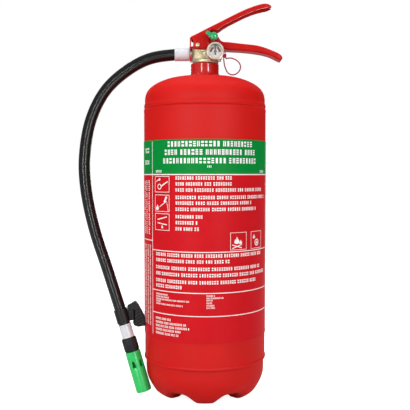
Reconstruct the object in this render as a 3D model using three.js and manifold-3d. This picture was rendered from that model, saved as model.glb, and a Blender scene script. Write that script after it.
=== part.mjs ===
// A six litre portable fire extinguisher: a pressed and welded steel vessel on six feet, a squeeze valve with
// a pressure gauge, a safety pin with its seal, and a crimped hose with a foam nozzle held in a side bracket.
// Millimetres, +Z up. The origin is on the vessel's axis, at the floor.
import * as THREE from "three";
import { mergeVertices } from "three/addons/utils/BufferGeometryUtils.js";
import Module from "manifold-3d";

const wasm = await Module();
wasm.setup();
const { Manifold, Mesh } = wasm;

// ---------------------------------------------------------------- driving dimensions
const GAP = 0.3; // clearance left between two pieces that meet

const BODY_R = 80;
const SHELL_T = 1.5;
const SHELL_BOTTOM_Z = 48.2;
const SHELL_TOP_Z = 372;
const SKIRT_R = BODY_R - SHELL_T - GAP; // the dome's and the base's skirts slide into the tube
const AROUND = 36; // facets round the vessel, six to each foot

const NECK_HOLE_R = 18.9;
const COLLAR_R = 18.5;
const COLLAR_BORE_R = 15.2;

const FEET = 6;
const FOOT_FLAT_ANGLE = 10; // degrees each side of a foot's middle that keep its full depth
const VALLEY_ANGLE = 24; // degrees from a foot's middle where the valley begins
const DISH_T = 1.8;

const LABEL_BOTTOM_Z = 82.5;
const LABEL_TOP_Z = 332.5;
const LABEL_T = 0.3;

const BLOCK_HALF_Y = 10.8;
const BLOCK_X = [-16, 22];
const BLOCK_Z = [439.3, 452.5];
const LUG_TOP_Z = 464;

const PIVOT = [-9.5, 457.7]; // x and z of the squeeze lever's axis
const RIVET_R = 2.2;
const PIN = [11.5, 466.8]; // x and z of the safety pin's axis
const PIN_R = 1.9;

const HANDLE_HALF_Y = 10.8;
const HANDLE_T = 1.5;
const LEVER_HALF_Y = 12.5;
const LEVER_T = 1.4;

const STEM_R = 2.5;
const STEM_TOP_Z = 470;
const SEAT_Z = 429;

const GAUGE = [13.4, 447.3]; // x and z of the gauge's axis
const GAUGE_CASE_R = 10.2;
const GAUGE_BEZEL_R = 11.3;
const GAUGE_FACE_Y = -28.3;

const OUTLET_Z = 447;
const HOSE_R = 7.4;
const HOSE_BORE_R = 4.2;
const BARB_R = 3.5;
const HOSE_LEAN = 3.2; // degrees that the hanging hose leans out to the front
const END_ANGLE = 16.5; // degrees between the hose's straight lower end and the vertical
const END_TOP = [-111, 113]; // x and z of the top of that straight end, before the lean

// ---------------------------------------------------------------- shapes
function toSolid(geometry) {
  const g = geometry.clone();
  g.deleteAttribute("normal");
  g.deleteAttribute("uv");
  const merged = mergeVertices(g, 1e-4);
  const index = new Uint32Array(merged.index.array);
  const make = (triVerts) =>
    new Manifold(new Mesh({ numProp: 3, vertProperties: new Float32Array(merged.attributes.position.array), triVerts }));
  const made = make(index);
  if (made.volume() >= 0) return made;
  for (let i = 0; i < index.length; i += 3) [index[i + 1], index[i + 2]] = [index[i + 2], index[i + 1]];
  return make(index);
}

function toGeometry(solid) {
  const m = solid.getMesh();
  const position = new Float32Array(m.numVert * 3);
  for (let i = 0; i < m.numVert; i++) {
    position.set(m.vertProperties.subarray(i * m.numProp, i * m.numProp + 3), i * 3);
  }
  const g = new THREE.BufferGeometry();
  g.setAttribute("position", new THREE.BufferAttribute(position, 3));
  g.setIndex(new THREE.BufferAttribute(m.triVerts, 1));
  g.computeVertexNormals();
  return g;
}

// A closed profile of [radius, height] turned round the Z axis.
function turned(profile, around = 20) {
  const points = [...profile, profile[0]].map(([r, z]) => new THREE.Vector2(r, z));
  return toSolid(new THREE.LatheGeometry(points, around).rotateX(Math.PI / 2));
}

// A tube or a rod along Z.
function tube(outer, inner, z0, z1, around = 20) {
  if (inner <= 0) {
    return toSolid(new THREE.CylinderGeometry(outer, outer, z1 - z0, around).rotateX(Math.PI / 2))
      .translate([0, 0, (z0 + z1) / 2]);
  }
  return turned([[inner, z0], [outer, z0], [outer, z1], [inner, z1]], around);
}

function box(x0, x1, y0, y1, z0, z1) {
  return toSolid(new THREE.BoxGeometry(x1 - x0, y1 - y0, z1 - z0))
    .translate([(x0 + x1) / 2, (y0 + y1) / 2, (z0 + z1) / 2]);
}

// An outline of [x, z] drawn out along Y.
function plate(outline, y0, y1) {
  const shape = new THREE.Shape(outline.map(([x, z]) => new THREE.Vector2(x, z)));
  const g = new THREE.ExtrudeGeometry(shape, { depth: y1 - y0, bevelEnabled: false, steps: 1 });
  return toSolid(g.rotateX(Math.PI / 2)).translate([0, y1, 0]);
}

// An outline of [x, y] drawn out along Z.
function slab(outline, z0, z1) {
  const shape = new THREE.Shape(outline.map(([x, y]) => new THREE.Vector2(x, y)));
  const g = new THREE.ExtrudeGeometry(shape, { depth: z1 - z0, bevelEnabled: false, steps: 1 });
  return toSolid(g).translate([0, 0, z0]);
}

function ring(radius, sides) {
  return Array.from({ length: sides }, (_, i) => {
    const a = (2 * Math.PI * i) / sides;
    return new THREE.Vector2(radius * Math.cos(a), radius * Math.sin(a));
  });
}

// A round wire, or a hollow pipe when it has a bore, along a list of [x, y, z] points.
function pipe(points, radius, { bore = 0, sides = 8, steps = 24, closed = false } = {}) {
  const path = new THREE.CatmullRomCurve3(points.map((p) => new THREE.Vector3(...p)), closed, "centripetal");
  const shape = new THREE.Shape(ring(radius, sides));
  if (bore > 0) shape.holes.push(new THREE.Path(ring(bore, Math.max(8, sides - 6))));
  return toSolid(new THREE.ExtrudeGeometry(shape, { steps, extrudePath: path, bevelEnabled: false }));
}

function torus(major, minor, around = 16, section = 6) {
  return toSolid(new THREE.TorusGeometry(major, minor, section, around));
}

// Turns a solid made round Z so that its axis runs along -Y through x, z; its height becomes depth to the front.
const facingFront = (solid, [x, z]) => solid.rotate([90, 0, 0]).translate([x, 0, z]);
// Turns a solid made round Z so that its axis runs along -X through the outlet.
const alongOutlet = (solid) => solid.rotate([0, -90, 0]).translate([0, 0, OUTLET_Z]);
// A cylinder across the valve, along Y.
const acrossY = (radius, [x, z], y0, y1, around = 12) =>
  tube(radius, 0, y0, y1, around).rotate([-90, 0, 0]).translate([x, 0, z]);

const unite = (...solids) => Manifold.union(solids);

// ---------------------------------------------------------------- assembly
const extinguisher = new THREE.Group();
extinguisher.name = "fire_extinguisher";

const finish = (color, metalness, roughness, extra = {}) => ({ color, metalness, roughness, ...extra });
const RED_PAINT = finish(0xc81e1c, 0.1, 0.3);
const LABEL = finish(0xdc1e2a, 0.0, 0.35);
const BRASS = finish(0xb9ae93, 0.8, 0.35);
const STEEL = finish(0xb8b8b4, 0.9, 0.3);
const BLACK_RUBBER = finish(0x151515, 0.0, 0.6);
const BLACK_PLASTIC = finish(0x1a1a1a, 0.0, 0.45);
const GREEN_PLASTIC = finish(0x1eae55, 0.0, 0.35);
const DARK_RED_PLASTIC = finish(0x8a1020, 0.0, 0.4);
const WHITE_ENAMEL = finish(0xf2f2f0, 0.0, 0.4);
const CLEAR = finish(0xffffff, 0.0, 0.05, { transparent: true, opacity: 0.3 });
const PALE_PLASTIC = finish(0xd8d8d0, 0.0, 0.45);

function add(name, solid, look, group = extinguisher) {
  const mesh = new THREE.Mesh(toGeometry(solid), new THREE.MeshStandardMaterial(look));
  mesh.name = name;
  group.add(mesh);
}

// ---------------------------------------------------------------- pressure vessel
add("cylinder_shell", turned([
  [BODY_R - SHELL_T, SHELL_BOTTOM_Z],
  [BODY_R - 0.4, SHELL_BOTTOM_Z],
  [BODY_R + 0.6, SHELL_BOTTOM_Z + 0.9],
  [BODY_R + 0.6, SHELL_BOTTOM_Z + 2.4],
  [BODY_R, SHELL_BOTTOM_Z + 4.4],
  [BODY_R, SHELL_TOP_Z - 1.2],
  [BODY_R - 0.5, SHELL_TOP_Z],
  [BODY_R - SHELL_T, SHELL_TOP_Z],
], AROUND), RED_PAINT);

add("top_dome", turned([
  [SKIRT_R - 2, 362],
  [SKIRT_R, 362],
  [SKIRT_R, SHELL_TOP_Z + 0.4],
  [79.6, SHELL_TOP_Z + 1.0],
  [79.7, 374.6],
  [78.9, 376.4],
  [79.3, 378.6],
  [78.5, 380.6],
  [78.3, 388.5],
  [77.0, 395.2],
  [73.3, 401.8],
  [64.2, 408.6],
  [50.2, 414.6],
  [35, 417.3],
  [NECK_HOLE_R, 418.2],
  [NECK_HOLE_R, 416.0],
  [48, 412.4],
  [70.2, 401],
  [SKIRT_R - 2, 388],
], AROUND), RED_PAINT);

add("neck_collar", turned([
  [COLLAR_BORE_R, 410],
  [COLLAR_R, 410],
  [COLLAR_R, 418.5],
  [COLLAR_R + 2.3, 418.5],
  [COLLAR_R + 0.7, 419.4],
  [COLLAR_R, 421],
  [COLLAR_R, 433.6],
  [COLLAR_R - 0.5, 434.4],
  [COLLAR_BORE_R + 2.7, 434.4],
  [COLLAR_BORE_R, 431.7],
], 24), RED_PAINT);

// The pressed base. Each row gives [radius, height] through the middle of a foot, then through a valley.
const DISH = [
  [[SKIRT_R, 57], [SKIRT_R, 57]],
  [[SKIRT_R, 40], [SKIRT_R, 40]],
  [[78.0, 33], [78.0, 33]],
  [[77.0, 26.5], [77.2, 27]],
  [[74.6, 19.4], [75.0, 20.8]],
  [[71.2, 13], [72.2, 16.8]],
  [[66.5, 6.6], [68.5, 14.2]],
  [[60, 2.2], [64, 13.6]],
  [[53, 0], [56, 15.6]],
  [[44, 0], [47, 18.5]],
  [[36, 4], [37, 21]],
  [[27, 13], [27, 22.6]],
  [[15, 21], [15, 23.7]],
  [[0, 24], [0, 24]],
];
const DISH_INNER_ROWS = [13, 10, 8, 6, 4, 1, 0];

// Shifts each point of an open profile inwards, square to the profile, by the sheet's thickness.
function inwards(profile, i) {
  if (profile[i][0] === 0) return [0, profile[i][1] + DISH_T];
  const [r0, z0] = profile[Math.max(0, i - 1)];
  const [r1, z1] = profile[Math.min(profile.length - 1, i + 1)];
  const length = Math.hypot(r1 - r0, z1 - z0);
  return [profile[i][0] + ((z1 - z0) / length) * DISH_T, profile[i][1] - ((r1 - r0) / length) * DISH_T];
}

function baseDish() {
  const foot = DISH.map((row) => row[0]);
  const valley = DISH.map((row) => row[1]);
  const rows = [
    ...DISH.map((_, i) => [foot[i], valley[i]]),
    ...DISH_INNER_ROWS.map((i) => [inwards(foot, i), inwards(valley, i)]),
  ];
  rows.push(rows[0]);
  const g = new THREE.LatheGeometry(rows.map((_, i) => new THREE.Vector2(1, i)), AROUND);
  const position = g.getAttribute("position");
  for (let v = 0; v < position.count; v++) {
    const row = rows[v % rows.length];
    const turn = (2 * Math.PI * Math.floor(v / rows.length)) / AROUND;
    const degrees = (turn * 180) / Math.PI;
    const pitch = 360 / FEET;
    const off = Math.abs(degrees - Math.round(degrees / pitch) * pitch);
    const valleyShare = THREE.MathUtils.smoothstep(off, FOOT_FLAT_ANGLE, VALLEY_ANGLE);
    const r = THREE.MathUtils.lerp(row[0][0], row[1][0], valleyShare);
    const z = THREE.MathUtils.lerp(row[0][1], row[1][1], valleyShare);
    position.setXYZ(v, -r * Math.sin(turn), -r * Math.cos(turn), z);
  }
  return toSolid(g);
}
add("base_dish", baseDish(), RED_PAINT);

add("label_wrap", tube(BODY_R + 0.15 + LABEL_T, BODY_R + 0.15, LABEL_BOTTOM_Z, LABEL_TOP_Z, AROUND)
  .subtract(box(-4, 4, 60, 90, 60, 350)), LABEL);

// ---------------------------------------------------------------- valve
const blockOutline = [
  [BLOCK_X[0] + 3, -BLOCK_HALF_Y], [BLOCK_X[1] - 4, -BLOCK_HALF_Y], [BLOCK_X[1] - 1.2, -BLOCK_HALF_Y + 1.2],
  [BLOCK_X[1], -BLOCK_HALF_Y + 4], [BLOCK_X[1], BLOCK_HALF_Y - 4], [BLOCK_X[1] - 1.2, BLOCK_HALF_Y - 1.2],
  [BLOCK_X[1] - 4, BLOCK_HALF_Y], [BLOCK_X[0] + 3, BLOCK_HALF_Y], [BLOCK_X[0], BLOCK_HALF_Y - 3],
  [BLOCK_X[0], -BLOCK_HALF_Y + 3],
];
const lugOutline = [[-15, 452], [12, 452], [12, 461], [9.5, LUG_TOP_Z], [-12, LUG_TOP_Z], [-15, 461]];
const HANDLE_SCREW_X = 17.3;
const valveBody = unite(
  tube(14.8, 0, 406, 436, 24),
  tube(18, 0, 435, 439.6, 28),
  slab(blockOutline, BLOCK_Z[0], BLOCK_Z[1]),
  plate(lugOutline, -9, 9),
)
  .subtract(box(-20, BLOCK_X[0], -12, 12, 434, 441)) // the flange's flat beside the outlet nut
  .subtract(tube(8.8, 0, 400, SEAT_Z, 20))
  .subtract(tube(5.5, 0, 420, 451, 16))
  .subtract(tube(4.7, 0, 445, 460, 16))
  .subtract(tube(STEM_R + 0.4, 0, 455, 470, 12))
  .subtract(alongOutlet(tube(4.7, 0, 2, 20, 16)))
  .subtract(facingFront(tube(3.5, 0, 4, 12, 12), GAUGE))
  .subtract(tube(1, 0, 0, GAUGE[0], 8).rotate([0, 90, 0]).translate([0, -5, GAUGE[1]]))
  .subtract(acrossY(RIVET_R + GAP, PIVOT, -12, 12))
  .subtract(tube(2.2, 0, 443, 460, 12).translate([HANDLE_SCREW_X, 0, 0]));
add("valve_body", valveBody, BRASS);

add("neck_o_ring", torus(15.95, 0.8, 24).translate([0, 0, 433.9]), BLACK_RUBBER);

add("spring_retainer", turned([
  [3.2, 396], [4.5, 396], [4.5, 406.5], [8.5, 406.5], [8.5, 411], [3.2, 411],
]), BRASS);

add("dip_tube", tube(6, 4.8, 34, 406.2, 16), PALE_PLASTIC);

add("stem_poppet", turned([
  [0, 423.2], [7.2, 423.2], [7.2, 427.2], [STEM_R + GAP, 427.2], [STEM_R + GAP, 424.7], [0, 424.7],
]), BRASS);
add("poppet_seal", tube(7.2, STEM_R + GAP, 427.5, SEAT_Z - GAP, 20), BLACK_RUBBER);
add("valve_stem", turned([
  [0, 425], [STEM_R, 425], [STEM_R, STEM_TOP_Z - 1.5], [1.5, STEM_TOP_Z], [0, STEM_TOP_Z],
], 12), STEEL);
add("stem_o_ring", torus(3.65, 0.8).translate([0, 0, 455.5]), BLACK_RUBBER);

const SPRING_Z = [412.1, 422.2];
const SPRING_TURNS = 4;
const springPoints = Array.from({ length: SPRING_TURNS * 10 + 1 }, (_, i) => {
  const a = (2 * Math.PI * i) / 10;
  const z = THREE.MathUtils.lerp(SPRING_Z[0], SPRING_Z[1], i / (SPRING_TURNS * 10));
  return [5.4 * Math.cos(a), 5.4 * Math.sin(a), z];
});
add("stem_spring", pipe(springPoints, 0.65, { sides: 5, steps: SPRING_TURNS * 10 }), STEEL);

// ---------------------------------------------------------------- carrying handle
// The lower edge of the folded channel, from its flat seat on the valve out to the rounded tip.
const handleBottom = [
  [24, 452.8], [30, 451.8], [52, 450.6], [67, 448.7], [78, 446.6], [88, 443.3], [95, 439.6], [99.2, 437.6],
];
const handleWall = [
  [-19.3, 457.8],
  [-14, 453.6],
  [-13, 452.8],
  ...handleBottom,
  [101.5, 440.2],
  [100.4, 443.6],
  [96.4, 446.8],
  [87.4, 450.8],
  [77.5, 454.6],
  [67.5, 457.2],
  [47.6, 459.5],
  [31.7, 461.4],
  [22.4, 462.2],
  [16.4, 470.6],
  [14, 472],
  [8.4, 472],
  [6.4, 470],
  [3, 463],
  [-12, 463],
  [-16.5, 463.6],
  [-17.9, 466],
  [-17.9, 470],
  [-19.3, 470],
];
const raised = handleBottom.map(([x, z]) => [x - 0.3, z + HANDLE_T]);
const handleFloor = [[12.4, 452.8], ...handleBottom, [101.5, 440.2], [100.2, 441.6], ...raised.reverse(), [12.4, 454.3]];
const wallIn = HANDLE_HALF_Y - HANDLE_T;
const carryHandle = unite(
  plate(handleWall, -HANDLE_HALF_Y, -wallIn),
  plate(handleWall, wallIn, HANDLE_HALF_Y),
  plate(handleFloor, -wallIn - 0.2, wallIn + 0.2),
  box(-19.3, -17.9, -wallIn - 0.2, wallIn + 0.2, 457.8, 470),
)
  .subtract(acrossY(RIVET_R + GAP, PIVOT, -12, 12))
  .subtract(acrossY(PIN_R + 0.5, PIN, -12, 12))
  .subtract(tube(2.2, 0, 450, 460, 12).translate([HANDLE_SCREW_X, 0, 0]));
add("carry_handle", carryHandle, RED_PAINT);

add("handle_screw", turned([
  [0, 444], [1.9, 444], [1.9, 454.6], [3.6, 454.6], [3.4, 456], [2.2, 456.6], [0, 456.6],
], 12).translate([HANDLE_SCREW_X, 0, 0]), STEEL);

const rivetHead = LEVER_HALF_Y + GAP;
add("lever_pivot_rivet", turned([
  [0, -rivetHead - 1.2],
  [2.2, -rivetHead - 1.0],
  [2.9, -rivetHead],
  [RIVET_R, -rivetHead],
  [RIVET_R, rivetHead],
  [2.9, rivetHead],
  [2.2, rivetHead + 1.0],
  [0, rivetHead + 1.2],
], 12).rotate([90, 0, 0]).translate([PIVOT[0], 0, PIVOT[1]]), BRASS);

// ---------------------------------------------------------------- squeeze lever
const leverTop = [
  [-17.5, 468.9], [2.9, 479.2], [19.7, 487.6], [37.6, 496.6], [49.3, 502.2], [62.3, 507.4], [74, 510.6],
  [79.5, 511.2], [83.5, 509.9],
];
const leverWall = [
  [-14, 453],
  [3, 453],
  [6.3, 462],
  [4.8, 470],
  [3.6, 474.6],
  [5.6, 477.6],
  [16.2, 477.0],
  [23.6, 481.9],
  [31.6, 486.6],
  [43.4, 492.5],
  [55.3, 498.2],
  [67.2, 502.5],
  [77.1, 505.3],
  [85.6, 507.6],
  ...[...leverTop].reverse(),
  [-17.5, 466.6],
  [-14.5, 463],
];
const under = leverTop.slice(0, -1).map(([x, z]) => [x, z - LEVER_T * 1.12]);
const leverHollow = [[-19, 440], [82.6, 440], [82.6, 508.4], ...under.reverse(), [-19, 466.6]];
const pressPad = box(-6, 3.2, -4.5, 4.5, STEM_TOP_Z + GAP, 476.6).subtract(
  plate([[-8, 473.2], [-8, 480], [5, 480], [3.3, 478.6]], -6, 6),
);
const squeezeLever = unite(
  plate(leverWall, -LEVER_HALF_Y, LEVER_HALF_Y)
    .subtract(plate(leverHollow, -LEVER_HALF_Y + LEVER_T, LEVER_HALF_Y - LEVER_T))
    .subtract(acrossY(RIVET_R + GAP, PIVOT, -14, 14)),
  pressPad,
);
add("squeeze_lever", squeezeLever, RED_PAINT);

// ---------------------------------------------------------------- safety pin and its seal
add("safety_pin_rod", acrossY(PIN_R, PIN, -21.7, 16), STEEL);
add("safety_pin_head", unite(
  facingFront(turned([[0, 17.8], [5, 17.8], [5.35, 18.4], [5.35, 24.8], [4.4, 26], [0, 26]], 20), PIN),
  box(PIN[0] - 10.4, PIN[0] - 4, -24.6, -19.4, PIN[1] + 1.4, PIN[1] + 6.3),
).subtract(acrossY(PIN_R + GAP, PIN, -22, -15)), GREEN_PLASTIC);

const SEAL_Y = -14.8;
const SEAL_R = 0.8;
add("seal_lock", box(23.2, 27.8, SEAL_Y - 1.7, SEAL_Y + 1.7, 440.4, 445.6), DARK_RED_PLASTIC);
add("seal_loop", pipe([
  [26.7, SEAL_Y, 446.3],
  [22.6, SEAL_Y, 454],
  [17.4, SEAL_Y, 462],
  [15.3, SEAL_Y, 467.6],
  [11.5, SEAL_Y, 470.4],
  [7.8, SEAL_Y, 467.4],
  [9.0, SEAL_Y, 462.4],
  [13.4, SEAL_Y, 457.4],
  [19, SEAL_Y, 451.6],
  [24.2, SEAL_Y, 446.3],
], SEAL_R, { sides: 6, steps: 24 }), DARK_RED_PLASTIC);
add("seal_tail", pipe([
  [26.9, SEAL_Y, 439.6],
  [34, SEAL_Y, 440.2],
  [42.8, SEAL_Y, 436],
  [46.2, SEAL_Y, 429.5],
  [44.2, SEAL_Y, 423],
  [37.5, SEAL_Y, 418.8],
  [30.6, SEAL_Y, 420.6],
  [26.2, SEAL_Y, 428.5],
  [24.2, SEAL_Y, 439.6],
], SEAL_R, { sides: 6, steps: 24 }), DARK_RED_PLASTIC);

// ---------------------------------------------------------------- pressure gauge, turned round its own axis to the front
add("gauge_case", facingFront(turned([
  [0, 5], [3.1, 5], [3.1, 11.1], [5.2, 11.1], [5.2, 14], [3.4, 14.6], [3.4, 16.2], [8.6, 17],
  [GAUGE_CASE_R, 18.6], [GAUGE_CASE_R, 26.2], [9.1, 26.2], [9.1, 19], [8.2, 18.2], [0, 18.2],
]), GAUGE), STEEL);
add("gauge_bourdon_tube", facingFront(pipe(
  Array.from({ length: 9 }, (_, i) => {
    const a = (-60 + 30 * i) * Math.PI / 180;
    return [6.3 * Math.cos(a), 6.3 * Math.sin(a), 20.2];
  }), 1.1, { sides: 6, steps: 10 }), GAUGE), BRASS);
add("gauge_dial", facingFront(tube(8.7, 0.9, 22.2, 22.8, 20), GAUGE), WHITE_ENAMEL);
add("gauge_pivot", facingFront(tube(0.55, 0, 19.2, 25, 10), GAUGE), BRASS);
add("gauge_needle", facingFront(unite(
  tube(1.7, 0, 23.4, 24, 16),
  slab([[-0.9, 0], [-0.25, 7.4], [0.25, 7.4], [0.9, 0], [0.75, -4.2], [-0.75, -4.2]], 23.4, 24),
).subtract(tube(0.85, 0, 23, 25, 10)), GAUGE), GREEN_PLASTIC);
add("gauge_lens", facingFront(tube(10.2, 0, 26.5, 27.3, 24), GAUGE), CLEAR);
add("gauge_bezel", facingFront(turned([
  [GAUGE_CASE_R + GAP, 23], [GAUGE_BEZEL_R, 23], [GAUGE_BEZEL_R, 27.6], [GAUGE_BEZEL_R - 0.6, -GAUGE_FACE_Y],
  [9.3, -GAUGE_FACE_Y], [9.0, 27.6], [GAUGE_CASE_R + GAP, 27.6],
], 24), GAUGE), STEEL);

// ---------------------------------------------------------------- hose, in a plane that leans to the front
const hoseGroup = new THREE.Group();
hoseGroup.name = "hose_group";
hoseGroup.position.set(0, 0, OUTLET_Z);
hoseGroup.rotation.x = -THREE.MathUtils.degToRad(HOSE_LEAN);
extinguisher.add(hoseGroup);
const addHose = (name, solid, look) => add(name, solid.translate([0, 0, -OUTLET_Z]), look, hoseGroup);

const endAngle = THREE.MathUtils.degToRad(END_ANGLE);
const along = (d) => [END_TOP[0] + d * Math.sin(endAngle), 0, END_TOP[1] - d * Math.cos(endAngle)];
// A solid made round Z, with z as the distance down the straight end.
const downEnd = (solid) =>
  solid.rotate([180, 0, 0]).rotate([0, -END_ANGLE, 0]).translate([END_TOP[0], 0, END_TOP[1]]);

addHose("hose_insert_upper", alongOutlet(unite(
  tube(4.3, 0, 7, 16.5, 12),
  toSolid(new THREE.CylinderGeometry(10.39, 10.39, 4.1, 6).rotateX(Math.PI / 2)).translate([0, 0, 18.35]),
  tube(BARB_R, 0, 20, 38, 12),
).subtract(tube(2.4, 0, 0, 40, 12))), STEEL);
addHose("hose_ferrule_upper", alongOutlet(turned([
  [HOSE_R + GAP, 20.8], [8.1, 20.8], [8.4, 21.6], [8.4, 38.6], [8.1, 39.4], [HOSE_R + GAP, 39.4],
])), STEEL);

addHose("hose", pipe([
  [-21.2, 0, OUTLET_Z],
  [-40, 0, OUTLET_Z],
  [-73, 0, 441.6],
  [-101, 0, 427],
  [-130, 0, 400.5],
  [-149.5, 0, 362],
  [-158, 0, 312],
  [-156, 0, 270],
  [-145, 0, 218],
  [-128, 0, 166],
  along(0),
  along(18),
  along(36),
], HOSE_R, { bore: HOSE_BORE_R, sides: 12, steps: 34 }), BLACK_RUBBER);

const CLIP = [0, 18.5]; // distances down the straight end
const clipMiddle = along((CLIP[0] + CLIP[1]) / 2);
addHose("hose_clip_ring", unite(
  downEnd(tube(8.9, 0, CLIP[0], CLIP[1], 20)),
  box(clipMiddle[0], -94.6, -1.4, 1.4, 98.4, 112),
  tube(2.2, 0, 98.4, 112, 12).translate([-94.6, 0, 0]),
).subtract(downEnd(tube(HOSE_R + GAP, 0, CLIP[0] - 2, CLIP[1] + 2, 20))), BLACK_PLASTIC);

addHose("hose_ferrule_lower", downEnd(turned([
  [HOSE_R + GAP, 20.5], [8.0, 20.5], [8.3, 21.3], [8.3, 37.7], [8.0, 38.5], [HOSE_R + GAP, 38.5],
])), STEEL);
addHose("hose_insert_lower", downEnd(turned([
  [2.4, 22], [BARB_R, 22], [BARB_R, 39.2], [6, 39.2], [6, 50.8], [2.4, 50.8],
], 12)), BRASS);

const COLLAR_RIBS = 8;
const nozzleCollar = turned([
  [6.3, 38.8], [8.6, 38.8], [9.4, 39.8], [9.4, 55.8], [8.8, 56.8], [6.3, 56.8],
], 20);
const ribs = Array.from({ length: COLLAR_RIBS }, (_, i) =>
  box(9, 9.75, -0.9, 0.9, 40.6, 55).rotate([0, 0, (360 * i) / COLLAR_RIBS]));
addHose("nozzle_collar", downEnd(unite(nozzleCollar, ...ribs)), BLACK_PLASTIC);

const NOZZLE = [57.1, 111];
const AIR_SLOTS = 6;
const slots = Array.from({ length: AIR_SLOTS }, (_, i) =>
  box(6, 12, -2.4, 2.4, 64, 73).rotate([0, 0, 11 + 30 + (360 * i) / AIR_SLOTS]));
addHose("nozzle", downEnd(turned([
  [4.5, 51.3], [5.9, 51.3], [5.9, NOZZLE[0]], [9.5, NOZZLE[0]], [9.9, NOZZLE[0] + 0.8], [9.9, NOZZLE[1] - 0.8],
  [9.4, NOZZLE[1]], [8.3, NOZZLE[1]], [8, NOZZLE[1] - 0.8], [8, 62], [4.5, 60],
]).subtract(unite(...slots))), GREEN_PLASTIC);
addHose("nozzle_jet", downEnd(turned([
  [1.2, 52], [4.1, 52], [4.1, 61], [2.6, 65], [1.2, 65],
], 12)), BRASS);

// ---------------------------------------------------------------- hose bracket on the vessel's side
const bracketY = -Math.tan(THREE.MathUtils.degToRad(HOSE_LEAN)) * (OUTLET_Z - 105);
const bracketOutline = [
  [-101.5, 113.4],
  [-101.5, 118.4],
  [-92.6, 122],
  [-89.4, 119],
  [-84.8, 109],
  [-79, 99],
  [-74, 99],
  [-74, 89.6],
  [-88, 88],
  [-92.4, 88.6],
  [-94.2, 91.6],
  [-94.6, 97],
];
add("hose_bracket", plate(bracketOutline, bracketY - 4.2, bracketY + 6.5)
  .subtract(tube(BODY_R + 0.15 + LABEL_T + GAP, 0, 60, 140, AROUND))
  .subtract(box(-104, -97, bracketY - 6, bracketY + 3, 97.3, 113.2))
  .subtract(box(-98, -91.6, bracketY - 6, bracketY + 3, 97.3, 113.2)), BLACK_PLASTIC);

export default extinguisher;
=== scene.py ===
# The looks of a six litre fire extinguisher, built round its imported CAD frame.
# Helpers work in millimetres and turn them into metres when a mesh is made.
import math
import random

import bmesh
import bpy
from mathutils import Matrix, Vector


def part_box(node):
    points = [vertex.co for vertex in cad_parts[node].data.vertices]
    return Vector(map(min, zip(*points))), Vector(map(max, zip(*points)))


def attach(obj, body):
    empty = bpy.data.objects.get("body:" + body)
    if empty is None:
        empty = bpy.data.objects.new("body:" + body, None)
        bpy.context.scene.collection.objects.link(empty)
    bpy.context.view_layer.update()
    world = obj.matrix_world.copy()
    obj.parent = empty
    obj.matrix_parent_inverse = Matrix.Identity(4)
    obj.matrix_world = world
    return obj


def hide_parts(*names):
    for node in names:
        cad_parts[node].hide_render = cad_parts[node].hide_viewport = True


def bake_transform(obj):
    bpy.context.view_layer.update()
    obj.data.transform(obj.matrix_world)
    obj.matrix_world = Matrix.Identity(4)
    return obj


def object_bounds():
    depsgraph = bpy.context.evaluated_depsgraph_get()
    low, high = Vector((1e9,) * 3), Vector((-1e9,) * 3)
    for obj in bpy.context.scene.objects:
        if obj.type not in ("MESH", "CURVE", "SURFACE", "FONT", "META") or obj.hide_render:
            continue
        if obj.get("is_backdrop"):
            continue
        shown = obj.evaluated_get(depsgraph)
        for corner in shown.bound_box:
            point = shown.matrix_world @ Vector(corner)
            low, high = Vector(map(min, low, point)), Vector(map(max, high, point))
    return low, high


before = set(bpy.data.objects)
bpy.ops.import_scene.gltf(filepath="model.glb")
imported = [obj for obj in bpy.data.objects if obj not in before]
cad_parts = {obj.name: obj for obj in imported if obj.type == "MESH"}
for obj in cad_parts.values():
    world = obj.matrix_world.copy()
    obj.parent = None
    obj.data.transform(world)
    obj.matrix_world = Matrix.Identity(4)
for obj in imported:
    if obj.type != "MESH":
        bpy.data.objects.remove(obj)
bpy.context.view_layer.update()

MM = 0.001
scene = bpy.context.scene

# ---- camera
CAMERA_AT = (0.0002, -0.891, 0.289)
CAMERA_TILT = 2.56  # degrees below the horizon
camera = bpy.data.objects.new("camera", bpy.data.cameras.new("camera"))
scene.collection.objects.link(camera)
camera.location = CAMERA_AT
camera.rotation_euler = (math.radians(90 - CAMERA_TILT), 0, 0)
camera.data.sensor_width = 36
camera.data.lens = 58.9
camera.data.clip_start, camera.data.clip_end = 0.02, 60
scene.camera = camera


# ---- materials
def node(tree, kind, **inputs):
    made = tree.nodes.new(kind)
    for key, value in inputs.items():
        made.inputs[key.replace("_", " ")].default_value = value
    return made


def linear(colour):
    """A colour given as 0 to 255 sRGB, as the shader's linear values."""
    return [((c / 255 + 0.055) / 1.055) ** 2.4 if c > 10 else c / 255 / 12.92 for c in colour]


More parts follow.
